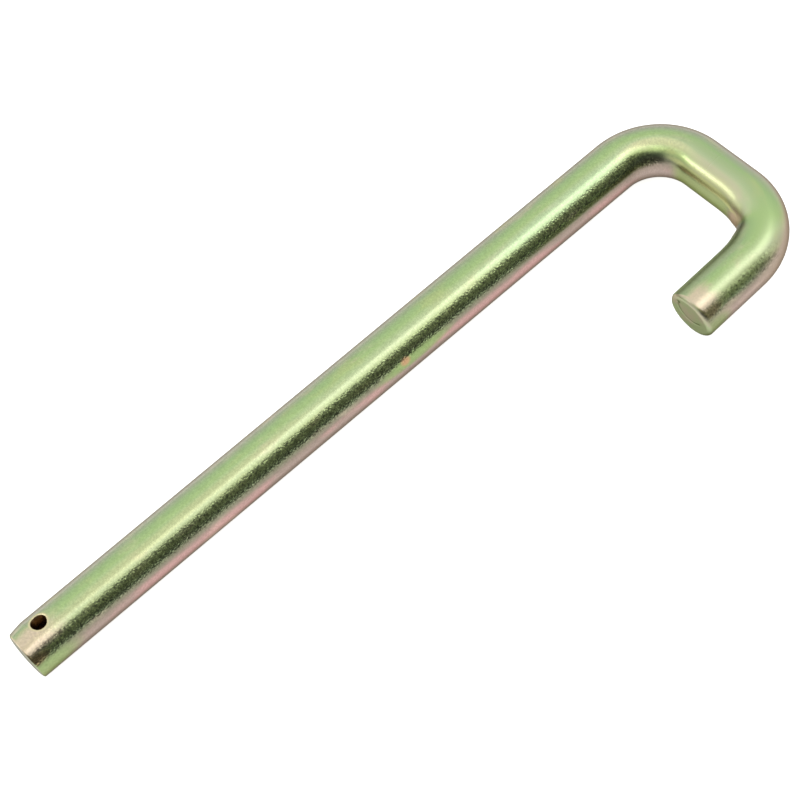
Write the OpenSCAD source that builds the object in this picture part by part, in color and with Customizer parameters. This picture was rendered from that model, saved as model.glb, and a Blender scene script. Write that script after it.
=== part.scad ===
// Hooked deck roller pin: one round steel bar, bent twice into a square hook at one end
// and cross-drilled near the other. It lies flat, with its shank along X, the hook turned
// towards -Y and the cross hole's centre at the origin.

/* [Bar] */
// Diameter of the round bar
bar_d = 12.7; // [8:0.1:20]

/* [Shank] */
// Straight length from the free end to the first bend
shank_l = 181.2; // [60:0.1:300]
// Rounding of the rim at the free end
shank_rim = 0.5; // [0.2:0.1:1.5]

/* [Hook] */
// Inside radius of both bends
bend_inside_r = 8.35; // [3:0.05:30]
// How much thinner the bar's radius is drawn in the bends
bend_draw = 0.02; // [0.01:0.01:0.2]
// Turn of the bend next to the shank, in degrees
shank_bend = 90; // [45:1:110]
// Straight length between the two bends
crossbar_l = 13.5; // [2:0.5:60]
// Turn of the bend next to the return leg, in degrees
leg_bend = 88; // [45:1:110]
// Straight length of the return leg
leg_l = 19.3; // [6:0.1:60]
// Rounding of the rim at the return leg's end
leg_rim = 1.1; // [0.2:0.1:1.5]

/* [Cross hole] */
// Diameter of the hole through the shank
hole_d = 3.9; // [2:0.1:6]
// Distance from the free end to the hole's centre
hole_from_end = 7.2; // [5:0.1:30]
// Turn of the hole about the shank, away from square to the hook, in degrees
hole_turn = 8; // [-45:1:45]
// Depth of the broken edge at both mouths of the hole
hole_break = 0.4; // [0.1:0.05:0.8]

/* [Sheared side of the free end] */
// Length along the shank that the shear rolled over
roll_l = 3.6; // [1:0.1:6]
// How far the rolled side drops at the end face
roll_drop = 0.6; // [0.1:0.05:1.2]
// Place of the rolled side round the shank, from the top, in degrees
roll_turn = 60; // [-180:5:180]

/* [Hidden] */
$fn = 48;
plating = "#a9b87a";
bar_r = bar_d / 2;
bend_r = bend_inside_r + bar_r;
hole_r = hole_d / 2;
// Centre of the roll's taper, off the bar's axis, as a share of the bar's radius
roll_offset = bar_r / 4;
// How far a cutter runs past the surface that it cuts
over = 1;
// Degrees by which a bend runs on into the straight at each end
bend_lap = 0.3;

// Half outline of a bar of length l, with its far rim rounded to rim
module bar_outline(l, rim) {
    square([bar_r, l - rim]);
    square([bar_r - rim, l]);
    translate([bar_r - rim, l - rim]) intersection() {
        circle(r = rim);
        square(rim);
    }
}

// Straight bar along +X that stops in a rounded end
module ended_bar(l, rim) rotate([0, 90, 0]) rotate_extrude() bar_outline(l, rim);

// Straight bar along +X, open to a bend at both ends
module plain_bar(l) rotate([0, 90, 0]) cylinder(h = l, d = bar_d);

// Bar that sets out along +X and turns by a degrees towards -Y. Both its ends run on a
// little, inside the straights that it joins
module bent_bar(a)
    translate([0, -bend_r, 0]) rotate([0, 0, 90 - a - bend_lap])
        rotate_extrude(angle = a + 2 * bend_lap) translate([bend_r, 0]) circle(r = bar_r - bend_draw);

// Carries its children to the far end of a straight of length l
module past_straight(l) translate([l, 0, 0]) children();

// Carries its children to the far end of a bend of a degrees
module past_bend(a)
    translate([0, -bend_r, 0]) rotate([0, 0, -a]) translate([0, bend_r, 0]) children();

// Both bends, the crossbar between them and the return leg
module hook() {
    bent_bar(shank_bend);
    past_bend(shank_bend) {
        plain_bar(crossbar_l);
        past_straight(crossbar_l) {
            bent_bar(leg_bend);
            past_bend(leg_bend) ended_bar(leg_l, leg_rim);
        }
    }
}

// Drilled hole along Z, with a broken edge at each mouth
module cross_hole() {
    cylinder(h = bar_d + 2 * over, r = hole_r, center = true);
    for (side = [0, 1]) mirror([0, 0, side]) translate([0, 0, bar_r - hole_break])
        cylinder(h = hole_break + over, r1 = hole_r, r2 = hole_r + hole_break + over);
}

// Radius of the roll's taper at x from the end face
function taper_r(x) = bar_r + roll_offset - roll_drop * (1 - x / roll_l);

// What the shear pressed away on one side of the end face, which lies at the origin
// square to X: the space round a taper whose axis is a little off the bar's
module rolled_side() {
    near_x = -over;
    far_x = roll_l + over;
    outer_r = taper_r(far_x) + over;
    translate([0, 0, -roll_offset]) rotate([0, 90, 0]) rotate_extrude() polygon([
        [taper_r(near_x), near_x], [outer_r, near_x], [outer_r, far_x], [taper_r(far_x), far_x]
    ]);
}

module hook_pin() {
    color(plating) translate([-hole_from_end, 0, 0]) difference() {
        union() {
            past_straight(shank_l) mirror([1, 0, 0]) ended_bar(shank_l, shank_rim);
            past_straight(shank_l) hook();
        }
        translate([hole_from_end, 0, 0]) rotate([-hole_turn, 0, 0]) cross_hole();
        rotate([-roll_turn, 0, 0]) rolled_side();
    }
}

hook_pin();
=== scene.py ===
import math

import bpy
from mathutils import Matrix, Vector


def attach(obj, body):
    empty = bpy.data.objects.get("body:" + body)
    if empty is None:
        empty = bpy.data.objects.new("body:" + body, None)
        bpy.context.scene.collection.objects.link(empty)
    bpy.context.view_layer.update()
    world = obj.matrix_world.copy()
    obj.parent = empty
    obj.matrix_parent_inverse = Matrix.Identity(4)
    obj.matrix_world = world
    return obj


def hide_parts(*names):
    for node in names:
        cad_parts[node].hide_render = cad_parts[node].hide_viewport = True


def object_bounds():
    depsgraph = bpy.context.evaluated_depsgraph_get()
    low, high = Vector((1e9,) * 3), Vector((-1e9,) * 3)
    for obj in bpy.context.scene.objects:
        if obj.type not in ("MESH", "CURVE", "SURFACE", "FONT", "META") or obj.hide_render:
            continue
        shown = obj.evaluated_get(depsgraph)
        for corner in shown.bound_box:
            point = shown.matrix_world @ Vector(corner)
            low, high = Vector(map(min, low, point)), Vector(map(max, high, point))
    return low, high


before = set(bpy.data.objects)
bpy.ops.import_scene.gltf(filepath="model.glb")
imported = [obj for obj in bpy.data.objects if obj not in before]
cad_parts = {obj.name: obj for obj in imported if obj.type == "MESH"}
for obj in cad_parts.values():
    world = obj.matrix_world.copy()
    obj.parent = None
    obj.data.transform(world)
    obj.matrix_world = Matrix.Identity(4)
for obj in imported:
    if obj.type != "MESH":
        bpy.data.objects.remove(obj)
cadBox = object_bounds()
mm = 0.001


class Wire:
    # one socket of a node tree, with Python's operators adding Math nodes
    def __init__(self, tree, socket):
        self.tree, self.socket = tree, socket

    def maths(self, operation, *values):
        return add(self.tree, "ShaderNodeMath", {"operation": operation}, dict(enumerate(values)))

    def __add__(self, other): return self.maths("ADD", self, other)
    def __radd__(self, other): return self.maths("ADD", other, self)
    def __sub__(self, other): return self.maths("SUBTRACT", self, other)
    def __rsub__(self, other): return self.maths("SUBTRACT", other, self)
    def __mul__(self, other): return self.maths("MULTIPLY", self, other)
    def __rmul__(self, other): return self.maths("MULTIPLY", other, self)
    def __truediv__(self, other): return self.maths("DIVIDE", self, other)
    def __pow__(self, other): return self.maths("POWER", self, other)
    def __neg__(self): return self.maths("MULTIPLY", self, -1)
    def __abs__(self): return self.maths("ABSOLUTE", self)
    def atLeast(self, value): return self.maths("MAXIMUM", self, value)
    def atMost(self, value): return self.maths("MINIMUM", self, value)
    def above(self, value): return self.maths("GREATER_THAN", self, value)
    def sine(self): return self.maths("SINE", self)
    def cosine(self): return self.maths("COSINE", self)
    def root(self): return self.maths("SQRT", self)

    def out(self, name):
        return Wire(self.tree, self.socket.node.outputs[name])


def add(tree, kind, settings=None, values=None, output=0):
    # any node: its settings first, then the values or links of its sockets
    node = tree.nodes.new(kind)
    for name, value in (settings or {}).items():
        if name == "stops":
            ramp = node.color_ramp
            ramp.elements[0].color, ramp.elements[1].color = (*value[0][1], 1), (*value[-1][1], 1)
            for place, colour in value[1:-1]:
                ramp.elements.new(place).color = (*colour, 1)
        else:
            setattr(node, name, value)
    for name, value in (values or {}).items():
        socket = node.inputs[name]
        if isinstance(value, Wire):
            tree.links.new(value.socket, socket)
        else:
            socket.default_value = value
    return None if output is None else Wire(tree, node.outputs[output])


def parted(tree, wire):
    return add(tree, "ShaderNodeSeparateXYZ", {}, {"Vector": wire})


def vector(tree, x, y, z):
    return add(tree, "ShaderNodeCombineXYZ", {}, {"X": x, "Y": y, "Z": z})


def vectorMaths(tree, operation, first, second):
    return add(tree, "ShaderNodeVectorMath", {"operation": operation}, {0: first, 1: second})


def scaled(tree, direction, amount):
    return add(tree, "ShaderNodeVectorMath", {"operation": "SCALE"}, {0: direction, "Scale": amount})


def between(tree, value, low, high, smooth=True):
    # 0 at low, 1 at high, and smooth or straight on the way
    return add(tree, "ShaderNodeMapRange", {"interpolation_type": "SMOOTHSTEP" if smooth else "LINEAR"},
               {"Value": value, "From Min": low, "From Max": high})


def reach(first, second):
    return (first * first + second * second).root()


def paint(red, green, blue):
    # a colour as it is read off a screen, made linear
    return tuple(((c / 255 + 0.055) / 1.055) ** 2.4 if c > 10 else c / 255 / 12.92
                 for c in (red, green, blue))


# The camera stands where the photograph was taken from, with the whole pin just in its frame
cameraLook = {
    "place": (-49.43, -267.26, 450.92),
    "right": (0.73752, -0.66078, -0.13945),
    "up": (0.62003, 0.5807, 0.52759),
    "forward": (0.26764, 0.47557, -0.83798),
    "lens": 106.2,
    "sensor": 36,
    "clip": 0.01,  # in metres
}


def setCamera(look):
    data = bpy.data.cameras.new("photoCamera")
    data.lens, data.sensor_width, data.clip_start = look["lens"], look["sensor"], look["clip"]
    camera = bpy.data.objects.new("photoCamera", data)
    right, up, back = Vector(look["right"]), Vector(look["up"]), -Vector(look["forward"])
    turn = Matrix((right, up, back)).transposed().to_4x4()
    camera.matrix_world = Matrix.Translation(Vector(look["place"]) * mm) @ turn
    bpy.context.scene.collection.objects.link(camera)
    bpy.context.scene.camera = camera


# A white table, a large soft lamp overhead, a bright wall behind and a dim room on the camera's side
studioLook = {
    "floorSize": 6.0,
    "floorTone": 0.8,
    "floorLift": 0.8,
    "floorFade": (0.02, 0.16),  # how far towards -Y the table starts to dim in the metal, and stops
    "floorFar": 0.1,
    "wallTone": 1.0,
    "roomTone": 0.135,
    "roomSides": (1.1, 0.4),  # how fast the room brightens from its dim part towards +X and -X
    "roomFade": (-0.42, 0.16),
    "roomFoot": 0.02,  # the lowest height at which the room's shade is still measured
    "aim": (90, -20, 0),
    # turn is from overhead towards the far side and lean towards the hook's end, both in degrees;
    # distance and size are in metres
    "lamps": {
        "softLamp": {"turn": -21.5, "lean": 11, "distance": 0.9, "size": (1.46, 0.43), "watts": 2.35},
        "sideLamp": {"turn": 40, "lean": -40.5, "distance": 0.9, "size": (0.08, 0.5), "watts": 0.5},
    },
}


def setTable(look):
    low, half = cadBox[0][2], look["floorSize"] / 2
    mesh = bpy.data.meshes.new("tableTop")
    corners = [(-half, -half, low), (half, -half, low), (half, half, low), (-half, half, low)]
    mesh.from_pydata(corners, [], [(0, 1, 2, 3)])
    floor = bpy.data.objects.new("tableTop", mesh)
    bpy.context.scene.collection.objects.link(floor)

    cloth = bpy.data.materials.new("whiteTable")
    cloth.use_nodes = True
    tree = cloth.node_tree
    tree.nodes.clear()
    path = add(tree, "ShaderNodeLightPath")
    mirrored = path.out("Is Glossy Ray")
    seen = path.out("Is Camera Ray").atLeast(mirrored).atLeast(path.out("Is Transmission Ray"))
    matt = add(tree, "ShaderNodeBsdfDiffuse", {}, {"Color": (*[look["floorTone"]] * 3, 1)})
    # towards the dim side of the room, the table's far part looks dimmer in the metal
    spot = parted(tree, add(tree, "ShaderNodeTexCoord", output="Object"))
    near, far = look["floorFade"]
    distance = add(tree, "ShaderNodeMapRange", {}, {
        "Value": spot.out("Y"), "From Min": -far, "From Max": -near, "To Min": 1.0, "To Max": 0.0})
    dimmed = 1 - distance * mirrored * (1 - look["floorFar"])
    glow = add(tree, "ShaderNodeEmission", {}, {
        "Color": (1, 1, 1, 1), "Strength": seen * look["floorLift"] * dimmed})
    both = add(tree, "ShaderNodeAddShader", {}, {0: matt, 1: glow})
    add(tree, "ShaderNodeOutputMaterial", {}, {"Surface": both}, None)
    mesh.materials.append(cloth)


def setRoom(look):
    world = bpy.data.worlds.new("studioRoom")
    bpy.context.scene.world = world
    world.use_nodes = True
    tree = world.node_tree
    tree.nodes.clear()
    path = add(tree, "ShaderNodeLightPath")
    way = parted(tree, add(tree, "ShaderNodeTexCoord", output="Generated"))
    right, left = way.out("X").atLeast(0), way.out("X").atMost(0)
    aside = right * look["roomSides"][0] - left * look["roomSides"][1]
    across = (way.out("Y") + aside) / way.out("Z").atLeast(look["roomFoot"])
    wall = add(tree, "ShaderNodeMapRange", {"interpolation_type": "SMOOTHSTEP"}, {
        "Value": across, "From Min": look["roomFade"][0], "From Max": look["roomFade"][1],
        "To Min": look["roomTone"], "To Max": look["wallTone"]})
    seen = path.out("Is Camera Ray").atLeast(path.out("Is Transmission Ray"))
    back = add(tree, "ShaderNodeBackground", {}, {
        "Color": (1, 1, 1, 1), "Strength": wall * (1 - seen) + seen})
    add(tree, "ShaderNodeOutputWorld", {}, {"Surface": back}, None)


def setLamps(look):
    for name, lamp in look["lamps"].items():
        data = bpy.data.lights.new(name, "AREA")
        data.shape, (data.size, data.size_y), data.energy = "RECTANGLE", lamp["size"], lamp["watts"]
        turn, lean = math.radians(lamp["turn"]), math.radians(lamp["lean"])
        towards = Vector((math.sin(lean), math.cos(lean) * math.sin(turn), math.cos(lean) * math.cos(turn)))
        along = (Vector((1, 0, 0)) - towards * towards.x).normalized()
        holder = bpy.data.objects.new(name, data)
        holder.matrix_world = Matrix.Translation(Vector(look["aim"]) * mm + towards * lamp["distance"]) @ \
            Matrix((along, towards.cross(along), towards)).transposed().to_4x4()
        bpy.context.scene.collection.objects.link(holder)


setCamera(cameraLook)
bpy.context.scene.view_settings.view_transform = "Standard"
setTable(studioLook)
setRoom(studioLook)
setLamps(studioLook)
print("camera and studio are set")


pinSizes = {  # millimetres and degrees, in the same frame as the CAD
    "barDiameter": 12.7,
    "holeFromEnd": 6.15,
    "shankLength": 180.15,
    "bendInsideRadius": 8.35,
    "crossbarLength": 13.5,
    "legBend": 88,
    "legLength": 19.1,
    "freeRim": 0.35,
    "legRim": 1.2,
    "freeTiltUp": -0.01,  # how far the free end's face leans out, per millimetre up
    "freeTiltOut": 0.03,
    "freeTiltReach": 3.4,  # how far along the bar that lean and the lip fade out
    "lip": 0.88,  # how far the upper rim of the free end stands out beyond the rest
    "lipTurn": -31,
    "lipPower": 0.8,
    "legTiltUp": 0.07,
    "legTiltOut": 0.03,
    "legTiltReach": 9,
    "scoreMiddle": (2.0, 0.3),  # up from the leg's middle, and out from it away from the shank
    "scoreRadius": 3.6,
    "scoreDepth": 0.12,
    "scoreWall": (0.05, 0.4),  # from its deepest line to where it ends, either side of it
    "scoreTop": (0.5, 2),  # heights between which the upper part of the circle fades away
    "scoreSlant": 0.6,  # how much those heights drop per millimetre out
    "nickMiddle": (3.3, -3.1),
    "nickDepth": 0.4,
    "nickWall": (0.1, 0.6),
    "markMargin": (1.3, 1.1),  # how far inside the leg's rim both marks start to fade, and end
    "rollLength": 3.6,
    "rollDrop": 0.6,
    "rollTurn": 60,
    "rollPowers": (1.5, 1.2),  # how fast the rolled side fades, round the bar and along it
    "holeDiameter": 3.8,
    "holeTurn": 8,
    "holeBreak": 0.3,
    "pinch": 0.5,  # how much thinner the inside of the second bend is at its middle
    "pinchHalf": (0.3, 5),  # from there to where the pinch starts to ease off, and ends
    "pinchPower": 1.5,
    "pinchSwell": 0.22,  # and how much thicker the bar is beside that
    "swellRise": (3.5, 6.5),  # from the bend's middle too, as is the next
    "swellFade": (9, 14),
    "ringsAlong": 480,
    "facetsRound": 144,
    "endShare": 0.2,  # the share of the rings that each end's face and its first stretch take
    "endReach": 9.5,  # how long that stretch is
    "bendSteps": 48,
    "holeFacets": 96,
    "holeDrill": 4,  # the drill's length, in radii of the bar
    "mergeDistance": 0.002,  # under which the sheet's edges close into one bar
}


def socketKind(value):
    if isinstance(value, Vector):
        return "NodeSocketVector"
    if isinstance(value, bpy.types.Material):
        return "NodeSocketMaterial"
    return "NodeSocketInt" if isinstance(value, int) else "NodeSocketFloat"


def startTree(name, entries):
    # a Geometry Nodes tree with a named input for each entry, and the wires that come from them
    tree = bpy.data.node_groups.new(name, "GeometryNodeTree")
    tree.interface.new_socket("Geometry", in_out="OUTPUT", socket_type="NodeSocketGeometry")
    tree.interface.new_socket("Geometry", in_out="INPUT", socket_type="NodeSocketGeometry")
    for entry, value in entries.items():
        tree.interface.new_socket(entry, in_out="INPUT", socket_type=socketKind(value))
    inlet = tree.nodes.new("NodeGroupInput")
    return tree, {socket.name: Wire(tree, socket) for socket in inlet.outputs if socket.name}


def polyline(tree, corners):
    # a line through the wires' corners, in the order given
    line = add(tree, "GeometryNodeMeshLine", {}, {"Count": len(corners)})
    pick = tree.nodes.new("GeometryNodeIndexSwitch")
    pick.data_type = "VECTOR"
    while len(pick.index_switch_items) < len(corners):
        pick.index_switch_items.new()
    tree.links.new(add(tree, "GeometryNodeInputIndex").socket, pick.inputs["Index"])
    for number, corner in enumerate(corners):
        tree.links.new(corner.socket, pick.inputs[str(number)])
    placed = add(tree, "GeometryNodeSetPosition", {}, {
        "Geometry": line, "Position": Wire(tree, pick.outputs[0])})
    return add(tree, "GeometryNodeMeshToCurve", {}, {"Mesh": placed})


def metres(lengths):
    return [length * mm for length in lengths]


def sheetOfRows(tree, given, sizes, outline):
    # a grid whose rows run from the middle of the free end's face to the middle of the leg's,
    # closer together at both ends; with it, each row's run along that outline and each facet's turn
    sheet = add(tree, "GeometryNodeMeshGrid", {}, {
        "Size X": 1.0, "Size Y": 1.0,
        "Vertices X": given["Rings along"], "Vertices Y": given["Facets round"]})
    spot = parted(tree, add(tree, "GeometryNodeInputPosition"))
    row = spot.out("X") + 0.5
    turn = (spot.out("Y") + 0.5) * (2 * math.pi)
    share, end = sizes["endShare"], given["Bar radius"] + sizes["endReach"] * mm
    near = between(tree, row, 0, share, False) * end
    far = between(tree, row, 1 - share, 1, False) * end
    body = between(tree, row, share, 1 - share, False) * (outline - end * 2)
    return sheet, near + body + far, turn


def rimmed(along, radius, rim):
    # along runs from a face's middle out to its rim, a quarter round, and on down the side; given
    # back are how far out from the centre line that is, and how far down from the face
    flat = radius - rim
    quarter = rim * (math.pi / 2)
    bow = ((along - flat) / quarter).atLeast(0).atMost(1) * (math.pi / 2)
    out = along.atMost(flat) + rim * bow.sine()
    down = rim * (1 - bow.cosine()) + (along - flat - quarter).atLeast(0)
    return out, down


def lobe(turn, middle, power):
    # 1 on the side of the bar at middle, and 0 from a quarter turn away
    return (turn - middle).cosine().atLeast(0) ** power


def pressedIn(tree, given, sizes, along, turn, side):
    # what the shear rolled over at the free end, and the pinch inside the second bend, where a
    # crease has a low swell on either side
    roundPower, alongPower = sizes["rollPowers"]
    rollFade = (1 - along / given["Roll length"]).atLeast(0) ** alongPower
    roll = given["Roll drop"] * lobe(turn, given["Roll turn"], roundPower) * rollFade
    fromBend = abs(along - given["Bend middle"])
    crease = given["Pinch"] * (1 - between(tree, fromBend, *metres(sizes["pinchHalf"])))
    swell = given["Pinch swell"] * between(tree, fromBend, *metres(sizes["swellRise"])) * \
        (1 - between(tree, fromBend, *metres(sizes["swellFade"])))
    inside = (-side).atLeast(0) ** sizes["pinchPower"]
    return roll + (crease - swell) * inside


def sunkMouth(given, along, out, turn):
    # at the hole's mouths the metal rounds over into the drilling
    aside = out * (turn - given["Hole lean"]).sine()
    fromAxis = reach(along - given["Hole from end"], aside)
    breakRadius = given["Hole break"]
    rounding = (1 - (fromAxis - given["Hole radius"]) / breakRadius).atLeast(0).atMost(1)
    onSide = along.above(given["Free rim"])
    return breakRadius * (1 - (1 - rounding * rounding).root()) * onSide


def markedFace(tree, given, sizes, out, up, side):
    # the leg's face has a shallow curved score on it, and a small nick
    radius = given["Bar radius"]
    fade, end = metres(sizes["markMargin"])
    onFace = 1 - between(tree, out, radius - fade, radius - end)
    fromScore = abs(reach(out * up - given["Score up"], out * side - given["Score out"]) -
                    given["Score radius"])
    score = given["Score depth"] * (1 - between(tree, fromScore, *metres(sizes["scoreWall"])))
    height = out * (up + side * sizes["scoreSlant"])
    score = score * (1 - between(tree, height, *metres(sizes["scoreTop"])))
    fromNick = reach(out * up - given["Nick up"], out * side - given["Nick out"])
    nick = given["Nick depth"] * (1 - between(tree, fromNick, *metres(sizes["nickWall"])))
    return (score + nick) * onFace


def drilled(tree, given, sizes, bar):
    drill = add(tree, "GeometryNodeMeshCylinder", {}, {
        "Vertices": sizes["holeFacets"], "Radius": given["Hole radius"],
        "Depth": given["Bar radius"] * sizes["holeDrill"]})
    drill = add(tree, "GeometryNodeTransform", {}, {"Geometry": drill, "Rotation": given["Hole turn"]})
    holed = add(tree, "GeometryNodeMeshBoolean", {"operation": "DIFFERENCE", "solver": "EXACT"},
                {0: bar, 1: drill})
    # the cut drops the bar's own coordinates, so they are read back off the uncut bar
    own = add(tree, "GeometryNodeInputNamedAttribute", {"data_type": "FLOAT_VECTOR"}, {"Name": "barSpace"})
    own = add(tree, "GeometryNodeSampleNearestSurface", {"data_type": "FLOAT_VECTOR"},
              {"Mesh": bar, "Value": own, "Sample Position": add(tree, "GeometryNodeInputPosition")})
    return add(tree, "GeometryNodeStoreNamedAttribute", {"data_type": "FLOAT_VECTOR", "domain": "POINT"},
               {"Geometry": holed, "Name": "barSpace", "Value": own})


def barTree(entries, sizes):
    # a round bar swept along its bent centre line, closed and rimmed at both ends, with a hole across it
    tree, given = startTree("bentBar", entries)
    radius = given["Bar radius"]
    corners = [given[name] for name in ("Free end", "First corner", "Second corner", "Leg end")]
    centreLine = add(tree, "GeometryNodeFilletCurve", {"mode": "POLY"}, {
        "Curve": polyline(tree, corners), "Count": sizes["bendSteps"],
        "Radius": given["Bend radius"], "Limit Radius": False})
    length = add(tree, "GeometryNodeCurveLength", {}, {"Curve": centreLine})
    outline = length + radius * 2
    sheet, run, turn = sheetOfRows(tree, given, sizes, outline)

    # how far along the bar and how far out from its centre line each point lies
    outFree, downFree = rimmed(run, radius, given["Free rim"])
    outLeg, downLeg = rimmed(outline - run, radius, given["Leg rim"])
    onLeg = run.above(outline / 2)
    out = outFree * (1 - onLeg) + outLeg * onLeg
    along = downFree * (1 - onLeg) + (length - downLeg) * onLeg
    up, side = turn.cosine(), turn.sine()
    out = out * (1 - pressedIn(tree, given, sizes, along, turn, side) / radius)
    out = out - sunkMouth(given, along, out, turn)

    # faces that lean a little, the free end's with its lip and the leg's with its marks
    freeFade = 1 - between(tree, along, 0, sizes["freeTiltReach"] * mm)
    legFade = between(tree, along, length - sizes["legTiltReach"] * mm, length)
    lean = (up * given["Leg tilt up"] + side * given["Leg tilt out"]) * legFade - \
        (up * given["Free tilt up"] + side * given["Free tilt out"]) * freeFade
    lip = given["Lip"] * lobe(turn, given["Lip turn"], sizes["lipPower"]) * (out / radius) * freeFade
    dent = markedFace(tree, given, sizes, out, up, side) * onLeg

    sample = add(tree, "GeometryNodeSampleCurve", {"mode": "LENGTH"}, {"Curves": centreLine, "Length": along})
    tangent = sample.out("Tangent")
    outward = vectorMaths(tree, "CROSS_PRODUCT", (0, 0, 1), tangent)
    place = vectorMaths(tree, "ADD", sample.out("Position"), scaled(tree, outward, out * side))
    place = vectorMaths(tree, "ADD", place, vector(tree, 0.0, 0.0, out * up))
    place = vectorMaths(tree, "ADD", place, scaled(tree, tangent, lean * out - lip - dent))
    bar = add(tree, "GeometryNodeStoreNamedAttribute", {"data_type": "FLOAT_VECTOR", "domain": "POINT"},
              {"Geometry": sheet, "Name": "barSpace", "Value": vector(tree, along, out * side, out * up)})
    bar = add(tree, "GeometryNodeSetPosition", {}, {"Geometry": bar, "Position": place})
    bar = add(tree, "GeometryNodeMergeByDistance", {}, {
        "Geometry": bar, "Distance": sizes["mergeDistance"] * mm})
    bar = drilled(tree, given, sizes, bar)
    bar = add(tree, "GeometryNodeSetShadeSmooth", {}, {"Geometry": bar, "Shade Smooth": True})
    bar = add(tree, "GeometryNodeRealizeInstances", {}, {"Geometry": bar})
    bar = add(tree, "GeometryNodeSetMaterial", {}, {"Geometry": bar, "Material": given["Finish"]})
    add(tree, "NodeGroupOutput", {}, {"Geometry": bar}, None)
    return tree


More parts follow.
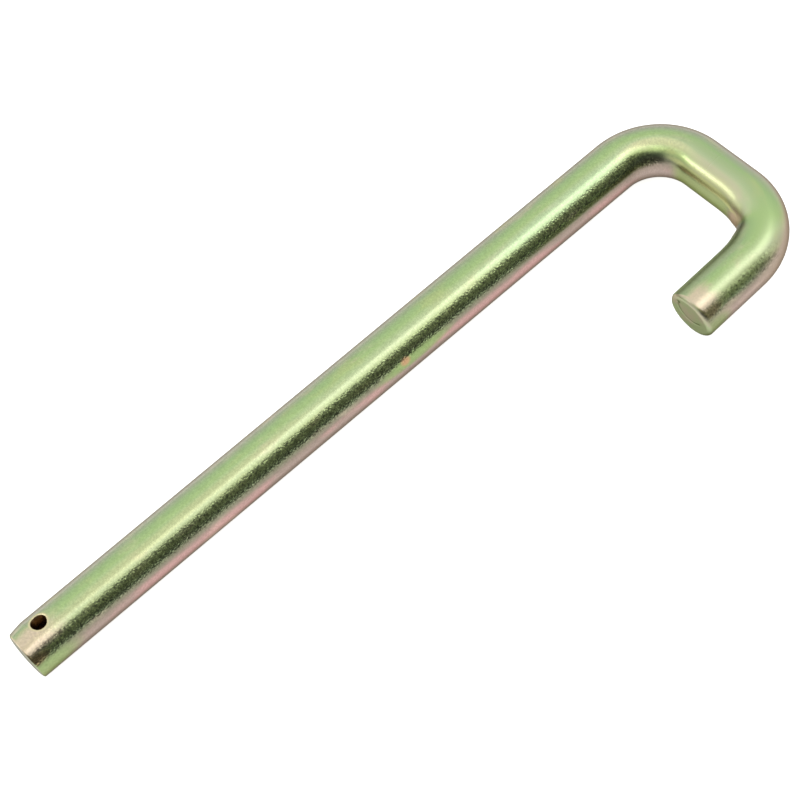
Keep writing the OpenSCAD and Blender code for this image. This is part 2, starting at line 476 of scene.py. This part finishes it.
# Yellow zinc plating: the hue runs round the bar in bands and drifts along it, and the bands darken from -80
# to -61 degrees as painted shade where the bar reflects the dim room. Turns are degrees from the top of the
# bar as it lies, towards the shank's far side; lengths are millimetres along the bar. A span gives where
# something starts and where it is full, and a window also where it fades and where it is gone
platingLook = {
    "bands": [(-180, (150, 172, 124)), (-140, (176, 162, 146)), (-112, (167, 152, 142)),
              (-92, (174, 156, 146)), (-80, (151, 137, 124)), (-70, (136, 136, 112)),
              (-61, (132, 146, 108)), (-46, (162, 179, 118)), (-36, (192, 208, 150)),
              (-31, (181, 194, 146)), (-22, (186, 197, 156)), (-12, (186, 203, 154)),
              (0, (170, 196, 134)), (12, (160, 187, 132)), (24, (166, 179, 146)),
              (36, (173, 172, 158)), (46, (174, 168, 156)), (60, (178, 166, 152)),
              (85, (160, 182, 134)), (115, (180, 188, 134)), (150, (162, 180, 130)),
              (180, (150, 172, 124))],
    "drift": 4.5,  # how far the bands wander, in degrees
    # the bar's low side towards -Y: its span, how far its bands are pulled round and how much darker
    # they are, on the shank and by how much more, or less, on the leg; that darkening is painted shade on the
    # shank, and on the leg, where it turns lighter, painted light
    "low": {"span": (48, 62), "pull": (4, 5), "darker": (0.16, 0.24)},
    "tints": {
        "patch": (204, 202, 140), "blush": (220, 200, 176), "cream": (226, 214, 170),
        "soot": (132, 108, 78), "inner": (144, 154, 108), "mauve": (172, 156, 140),
        "crease": (166, 148, 124), "legGreen": (154, 170, 128), "face": (160, 171, 133),
        "facePink": (178, 164, 146), "freeFace": (188, 186, 170), "stain": (184, 138, 108),
        "leafy": (134, 156, 100), "shade": (92, 98, 66), "rust": (150, 116, 84),
        "olive": (200, 202, 138), "sage": (168, 178, 148), "rose": (196, 148, 146),
        "straw": (226, 226, 172), "minty": (176, 212, 166),
    },
    # how much of each tint shows where it is strongest
    "shares": {
        "patch": 0.25, "blush": 0.4, "rose": 0.5, "crease": 0.9, "legGreen": 0.85, "crossbar": 0.3,
        "ends": 0.85, "face": 0.85, "facePink": 0.7, "rimShade": 0.7, "score": 0.6, "nick": 0.9,
        "freeFace": 0.8, "holeRim": 0.75,
    },
    # each noise: its size along, across and up, its detail, its roughness and its seed
    "noises": {
        "drift": ((34, 5, 5), 2, 0.5, 8.6), "patch": ((9, 4, 4), 3, 0.6, 4.1),
        "blush": ((14, 5, 5), 3, 0.6, 7.7), "rose": ((22, 6, 6), 2, 0.5, 6.2),
        "ragged": ((4, 2.5, 2.5), 3, 0.6, 3.3), "facePink": ((3, 3.5, 3.5), 2, 0.5, 5.6),
        "speckle": ((0.45, 0.45, 0.45), 1, 0.5, 9.4), "grain": ((0.45, 0.45, 0.45), 1, 0.5, 2.2),
    },
    # spans of a noise's own value
    "blotches": {"patch": (0.52, 0.72), "blush": (0.56, 0.74), "rose": (0.42, 0.6), "facePink": (0.42, 0.62)},
    # windows of turn
    "turns": {
        "rose": (-108, -92, -84, -70), "inner": (-135, -110, -70, -50), "legGreen": (8, 28, 120, 150),
        "crossbar": (-62, -46, -22, -8), "freeEnd": (-48, -34, 0, 22), "legEnd": (-48, -32, 2, 20),
    },
    # windows along the bar, each counted from the landmarks that the code names
    "runs": {
        "inner": (-7, -1, 0, 7), "outer": (-12, 2, -4, 5), "crease": (2, 7, 0, 2), "crossbar": (-2, 4, 3, 8),
        "grainGlintless": (-6, 0, -7, 0),
    },
    "roseEnd": 12,  # how far before the first bend's end the rosy film stops
    "steep": (0.4, 0.88),  # span of the upward facing over which a side stops being steep
    "outerSide": (-1, 3),  # out from the centre line, to the bend's outside and, next, to its inside
    "creaseSide": (0, 3),
    "freeBlush": (4, 13),  # from each end, over which its blush goes out
    "legBlush": (3, 8),
    "ragged": 7,  # how far the edge of the blush at both ends wanders
    # run and turn of each patch, its run and turn sizes, its share and its tint
    "spots": [((110.5, -72), (11, 15), 0.9, "leafy"), ((107.9, -68), (1.4, 11), 0.8, "stain"),
              ((160, -24), (26, 16), 0.35, "minty"), ((40, -16), (45, 9), 0.3, "patch"),
              # the shade patch at run 168 is a painted reflection of the hook, dark on the shank's low side
              ((168, -66), (26, 6), 0.6, "shade"), ((256, -88), (4.5, 25), 0.7, "leafy"),
              ((2, -84), (9, 26), 0.8, "leafy"), ((0, -50), (4, 14), 0.7, "rust"),
              ((210, -59), (14, 8), 0.8, "olive"), ((210, -3), (16, 13), 0.4, "sage"),
              # the straw patch at run 192 is a painted highlight on top of the first bend
              ((192, -24), (13, 12), 0.55, "straw"), ((256.5, -48), (4, 12), 0.5, "rust")],
    "spotFade": 1.6,
    # how strong the speckle and the grain are everywhere, and how much more where the bar faces a window
    # of -Y and a span of up; and how much less on the leg. The grain is a real bump, and the colour speckle
    # is painted glints, strongest where the bar faces the dim room
    "grainGlintShow": (0.15, 0.85),
    "grainGlintFacing": (-0.94, -0.87, -0.64, -0.5),
    "grainGlintUp": (0.28, 0.42),
    "grainGlintLessOnLeg": 0.3,
    "speckle": 3.0,
    "grainDepth": 0.08,
    "legFace": (0.3, 1.1),  # from the leg's end, over which the cut face's tint and its shade go out
    "rimShade": (1.0, 2.0),
    "rimFacing": (-0.35, 0.02),
    "scoreDarkening": (0.12, 0.42),  # from the score's line and from the nick's middle
    "nickDarkening": (0.3, 0.7),
    "freeFaceDepth": (0.02, 0.25),
    "holeRim": (0.3, 0.7),  # out from the hole's wall
    "holeInside": (0.01, 0.1),
    "edge": (156, 154, 148),  # what the metal reflects at a glance
    "roughness": 0.25,
    "legRoughness": 0.09,  # how much rougher the leg is than the shank
    "roughnessRun": (-4, 10),
}


class Film:
    # the plating's shader tree: each point's place on the bar in millimetres, the turn that it faces,
    # the landmarks along the bar, and the colour that the tints are laid on
    def __init__(self, tree, look, sizes):
        self.tree, self.look, self.colour = tree, look, None
        own = add(tree, "ShaderNodeAttribute", {"attribute_type": "GEOMETRY", "attribute_name": "barSpace"},
                  output="Vector")
        self.own = scaled(tree, own, 1 / mm)
        part = parted(tree, self.own)
        self.run, self.side, self.up = part.out("X"), part.out("Y"), part.out("Z")
        self.facing = parted(tree, add(tree, "ShaderNodeTexCoord", output="Normal"))
        faced = self.facing.out("X") + self.facing.out("Y")
        self.turn = faced.maths("ARCTAN2", faced, self.facing.out("Z")) * (180 / math.pi)

        bend = sizes["bendInsideRadius"] + sizes["barDiameter"] / 2
        self.crossbarStart = sizes["shankLength"] + math.pi / 2 * bend
        self.crossbarEnd = self.crossbarStart + sizes["crossbarLength"]
        self.legStart = self.crossbarEnd + math.radians(sizes["legBend"]) * bend
        self.bendMiddle = (self.crossbarEnd + self.legStart) / 2
        self.fromLeg = self.legStart + sizes["legLength"] - self.run
        self.onLeg = self.span(self.run, (self.bendMiddle, self.legStart))

    def span(self, value, ends):
        return between(self.tree, value, *ends)

    def window(self, value, places):
        # 1 in the middle, easing to 0 at both ends
        return self.span(value, places[:2]) * (1 - self.span(value, places[2:]))

    def stretch(self, first, last, name):
        # a window of the look along the bar, from one landmark to another
        rise, full, fade, gone = self.look["runs"][name]
        return self.window(self.run, (first + rise, first + full, last + fade, last + gone))

    def facingTurn(self, name):
        return self.window(self.turn, self.look["turns"][name])

    def noise(self, name):
        size, detail, roughness, seed = self.look["noises"][name]
        place = add(self.tree, "ShaderNodeVectorMath", {"operation": "MULTIPLY"},
                    {0: self.own, 1: tuple(1 / value for value in size)})
        return add(self.tree, "ShaderNodeTexNoise", {"noise_dimensions": "4D"}, {
            "Vector": place, "W": seed, "Scale": 1.0, "Detail": detail, "Roughness": roughness})

    def blotch(self, name):
        return self.span(self.noise(name), self.look["blotches"][name])

    def mixed(self, share, first, second):
        # the Mix node gives its sockets the same names for every kind of value, so colours go by number
        firstColour, secondColour, result = 6, 7, 2
        first, second = (value if isinstance(value, Wire) else (*paint(*self.look["tints"][value]), 1)
                         for value in (first, second))
        return add(self.tree, "ShaderNodeMix", {"data_type": "RGBA"},
                   {"Factor": share, firstColour: first, secondColour: second}, output=result)

    def lay(self, share, tint):
        # a tint, by its name or as a colour already mixed, over what is there
        self.colour = self.mixed(share, self.colour, tint)

    def scale(self, amount):
        self.colour = scaled(self.tree, self.colour, amount)


def layBands(film, drift):
    look, low = film.look, film.look["low"]
    lowSide = film.span(-film.turn, low["span"])
    place = (film.turn + drift - lowSide * (low["pull"][0] + film.onLeg * low["pull"][1]) + 180) / 360
    stops = [((turned + 180) / 360, paint(*colour)) for turned, colour in look["bands"]]
    film.colour = add(film.tree, "ShaderNodeValToRGB", {"stops": stops}, {"Fac": place})
    # painted shade: the low side is darker on the shank, and on the leg it is lighter, painted light
    film.scale(1 - lowSide * (low["darker"][0] - film.onLeg * low["darker"][1]))
    film.lay(film.blotch("patch") * (1 - lowSide) * look["shares"]["patch"], "patch")
    film.lay(film.blotch("blush") * look["shares"]["blush"], "blush")
    # low on its near side the shank's film turns rosy here and there
    onHook = film.span(film.run, (film.crossbarStart - look["roseEnd"], film.crossbarStart))
    rosy = film.blotch("rose") * film.facingTurn("rose")
    film.lay(rosy * look["shares"]["rose"] * (1 - onHook), "rose")


def layHook(film):
    look, shares = film.look, film.look["shares"]
    # where the hook opens, its inner side took a greener film
    inner = film.stretch(film.crossbarStart, film.crossbarEnd, "inner")
    film.lay(inner * film.facingTurn("inner"), "inner")
    # the outside of the second bend is mauve from its top down, and so is its inside up to the crease
    steep = 1 - film.span(film.facing.out("Z"), look["steep"])
    outer = film.stretch(film.crossbarEnd, film.legStart, "outer") * film.span(film.side, look["outerSide"])
    film.lay(outer * steep, "mauve")
    crease = film.stretch(film.crossbarEnd, film.bendMiddle, "crease")
    crease = crease * film.span(-film.side, look["creaseSide"])
    film.lay(crease * steep * shares["crease"], "crease")
    # the leg stays green right down its inner side
    film.lay(film.onLeg * film.facingTurn("legGreen") * shares["legGreen"], "legGreen")
    # the crossbar's top is paler on the side of the gap
    pale = film.stretch(film.crossbarStart, film.crossbarEnd, "crossbar") * film.facingTurn("crossbar")
    film.lay(pale * shares["crossbar"], "blush")


def layEnds(film):
    # paler metal where both ends were cut
    look, share = film.look, film.look["shares"]["ends"]
    ragged = (film.noise("ragged") - 0.5) * look["ragged"]
    freeBlush = 1 - film.span(film.run + ragged, look["freeBlush"])
    film.lay(freeBlush * film.facingTurn("freeEnd") * share, "blush")
    legBlush = 1 - film.span(film.fromLeg + ragged, look["legBlush"])
    film.lay(legBlush * film.facingTurn("legEnd") * share, "blush")


def laySpots(film, drift):
    # oval patches of their own tint, on the shank, round the first bend and at both ends; the shade patch is
    # a painted reflection and the straw patch a painted highlight
    for (runMiddle, turnMiddle), (runSize, turnSize), share, tint in film.look["spots"]:
        runOff, turnOff = (film.run - runMiddle) / runSize, (film.turn + drift - turnMiddle) / turnSize
        within = 1 - film.span(runOff * runOff + turnOff * turnOff, (0.0, film.look["spotFade"]))
        film.lay(within * share, tint)


def grainStrength(film):
    # the grain and the speckle's painted glints show most on the side that faces the dim room, and not in the
    # hook's bends
    look = film.look
    least, more = look["grainGlintShow"]
    strength = least + more * film.window(film.facing.out("Y"), look["grainGlintFacing"]) * \
        film.span(film.facing.out("Z"), look["grainGlintUp"])
    return strength * (1 - film.stretch(film.crossbarStart, film.legStart, "grainGlintless")) * \
        (1 - film.onLeg * look["grainGlintLessOnLeg"])


def layFaces(film, sizes):
    look, shares = film.look, film.look["shares"]
    legFace = 1 - film.span(film.fromLeg, look["legFace"])
    faded = film.blotch("facePink") * shares["facePink"]
    film.lay(legFace * shares["face"], film.mixed(faded, "face", "facePink"))
    rimShade = 1 - film.span(film.fromLeg, look["rimShade"])
    rimShade = rimShade * (1 - film.span(film.facing.out("Z"), look["rimFacing"]))
    film.lay(rimShade * shares["rimShade"], "shade")

    def fromPlace(middle):
        return reach(film.up - middle[0], film.side - middle[1])

    # the score and the nick are painted darker
    fromScore = abs(fromPlace(sizes["scoreMiddle"]) - sizes["scoreRadius"])
    height = film.up + film.side * sizes["scoreSlant"]
    score = (1 - film.span(fromScore, look["scoreDarkening"])) * (1 - film.span(height, sizes["scoreTop"]))
    nick = 1 - film.span(fromPlace(sizes["nickMiddle"]), look["nickDarkening"])
    marksDarkened = (score * shares["score"] + nick * shares["nick"]).atMost(1)
    film.lay(marksDarkened * legFace, "shade")
    film.lay((1 - film.span(film.run, look["freeFaceDepth"])) * shares["freeFace"], "freeFace")


def layHole(film, sizes):
    # a pale rim round the hole, and a darker brown inside
    place = add(film.tree, "ShaderNodeTexCoord", output="Object")
    lean = math.radians(sizes["holeTurn"])
    across = vectorMaths(film.tree, "CROSS_PRODUCT", place, (0, math.sin(lean), math.cos(lean)))
    fromAxis = add(film.tree, "ShaderNodeVectorMath", {"operation": "LENGTH"}, {0: across}, output="Value")
    beyond = fromAxis / mm - sizes["holeDiameter"] / 2
    film.lay((1 - film.span(beyond, film.look["holeRim"])) * film.look["shares"]["holeRim"], "cream")
    film.lay(1 - film.span(beyond, film.look["holeInside"]), "soot")


def platingFinish(look, sizes):
    finish = bpy.data.materials.new("yellowZinc")
    finish.use_nodes = True
    tree = finish.node_tree
    film = Film(tree, look, sizes)
    drift = (film.noise("drift") - 0.5) * (2 * look["drift"])
    layBands(film, drift)
    layHook(film)
    layEnds(film)
    laySpots(film, drift)
    grainAndGlints = grainStrength(film)
    # painted glints: the colour speckles lighter and darker, most where the bar faces the dim room
    film.scale(1 + (film.noise("speckle") - 0.5) * grainAndGlints * look["speckle"])
    layFaces(film, sizes)
    layHole(film, sizes)

    shader = tree.nodes["Principled BSDF"]
    shader.inputs["Metallic"].default_value = 1
    shader.inputs["Specular Tint"].default_value = (*paint(*look["edge"]), 1)
    before, after = look["roughnessRun"]
    rougher = film.span(film.run, (film.crossbarStart + before, film.crossbarEnd + after))
    roughness = look["roughness"] + look["legRoughness"] * rougher
    bump = add(tree, "ShaderNodeBump", {}, {
        "Strength": 1.0, "Distance": look["grainDepth"] * mm, "Height": (film.noise("grain") - 0.5) * grainAndGlints})
    tree.links.new(roughness.socket, shader.inputs["Roughness"])
    tree.links.new(film.colour.socket, shader.inputs["Base Color"])
    tree.links.new(bump.socket, shader.inputs["Normal"])
    return finish


def barEntries(sizes, finish):
    # the named inputs of the bar's tree, in metres and radians
    radius = sizes["barDiameter"] / 2
    bend = sizes["bendInsideRadius"] + radius
    turned = math.radians(sizes["legBend"])
    corner = bend * math.tan(turned / 2)
    start = Vector((-sizes["holeFromEnd"], 0, 0))
    first = start + Vector((sizes["shankLength"] + bend, 0, 0))
    second = first + Vector((0, -1, 0)) * (bend + sizes["crossbarLength"] + corner)
    last = second + Vector((-math.sin(turned), -math.cos(turned), 0)) * (corner + sizes["legLength"])
    bendMiddle = sizes["shankLength"] + bend * (math.pi / 2 + turned / 2) + sizes["crossbarLength"]
    return {
        "Bar radius": radius * mm, "Bend radius": bend * mm,
        "Free end": start * mm, "First corner": first * mm, "Second corner": second * mm,
        "Leg end": last * mm, "Bend middle": bendMiddle * mm,
        "Free rim": sizes["freeRim"] * mm, "Leg rim": sizes["legRim"] * mm,
        "Free tilt up": sizes["freeTiltUp"], "Free tilt out": sizes["freeTiltOut"],
        "Leg tilt up": sizes["legTiltUp"], "Leg tilt out": sizes["legTiltOut"],
        "Score radius": sizes["scoreRadius"] * mm, "Score depth": sizes["scoreDepth"] * mm,
        "Score up": sizes["scoreMiddle"][0] * mm, "Score out": sizes["scoreMiddle"][1] * mm,
        "Nick up": sizes["nickMiddle"][0] * mm, "Nick out": sizes["nickMiddle"][1] * mm,
        "Nick depth": sizes["nickDepth"] * mm,
        "Lip": sizes["lip"] * mm, "Lip turn": math.radians(sizes["lipTurn"]),
        "Roll length": sizes["rollLength"] * mm, "Roll drop": sizes["rollDrop"] * mm,
        "Roll turn": math.radians(sizes["rollTurn"]),
        "Hole radius": sizes["holeDiameter"] / 2 * mm, "Hole from end": sizes["holeFromEnd"] * mm,
        "Hole turn": Vector((math.radians(-sizes["holeTurn"]), 0, 0)),
        "Hole lean": math.radians(sizes["holeTurn"]), "Hole break": sizes["holeBreak"] * mm,
        "Pinch": sizes["pinch"] * mm, "Pinch swell": sizes["pinchSwell"] * mm,
        "Rings along": sizes["ringsAlong"], "Facets round": sizes["facetsRound"] + 1,
        "Finish": finish,
    }


def makePin(sizes, finish):
    entries = barEntries(sizes, finish)
    tree = barTree(entries, sizes)
    holder = bpy.data.objects.new("barHolder", bpy.data.meshes.new("barHolder"))
    bpy.context.scene.collection.objects.link(holder)
    maker = holder.modifiers.new("bentBar", "NODES")
    maker.node_group = tree
    for socket in tree.interface.items_tree:
        if socket.in_out == "INPUT" and socket.name in entries:
            maker[socket.identifier] = entries[socket.name]
    graph = bpy.context.evaluated_depsgraph_get()
    mesh = bpy.data.meshes.new_from_object(holder.evaluated_get(graph), preserve_all_data_layers=True,
                                           depsgraph=graph)
    bpy.data.objects.remove(holder)
    mesh.name = "rollerPin"
    mesh.materials.clear()
    mesh.materials.append(finish)
    mesh.polygons.foreach_set("material_index", [0] * len(mesh.polygons))
    pin = bpy.data.objects.new("rollerPin", mesh)
    bpy.context.scene.collection.objects.link(pin)
    return pin


plating = platingFinish(platingLook, pinSizes)
print("finish made:", plating.name, len(plating.node_tree.nodes), "nodes")
pin = makePin(pinSizes, plating)
print("pin made:", len(pin.data.vertices), "points", len(pin.data.polygons), "faces",
      [layer.name for layer in pin.data.attributes])
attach(pin, "root")
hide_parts("hook_pin")
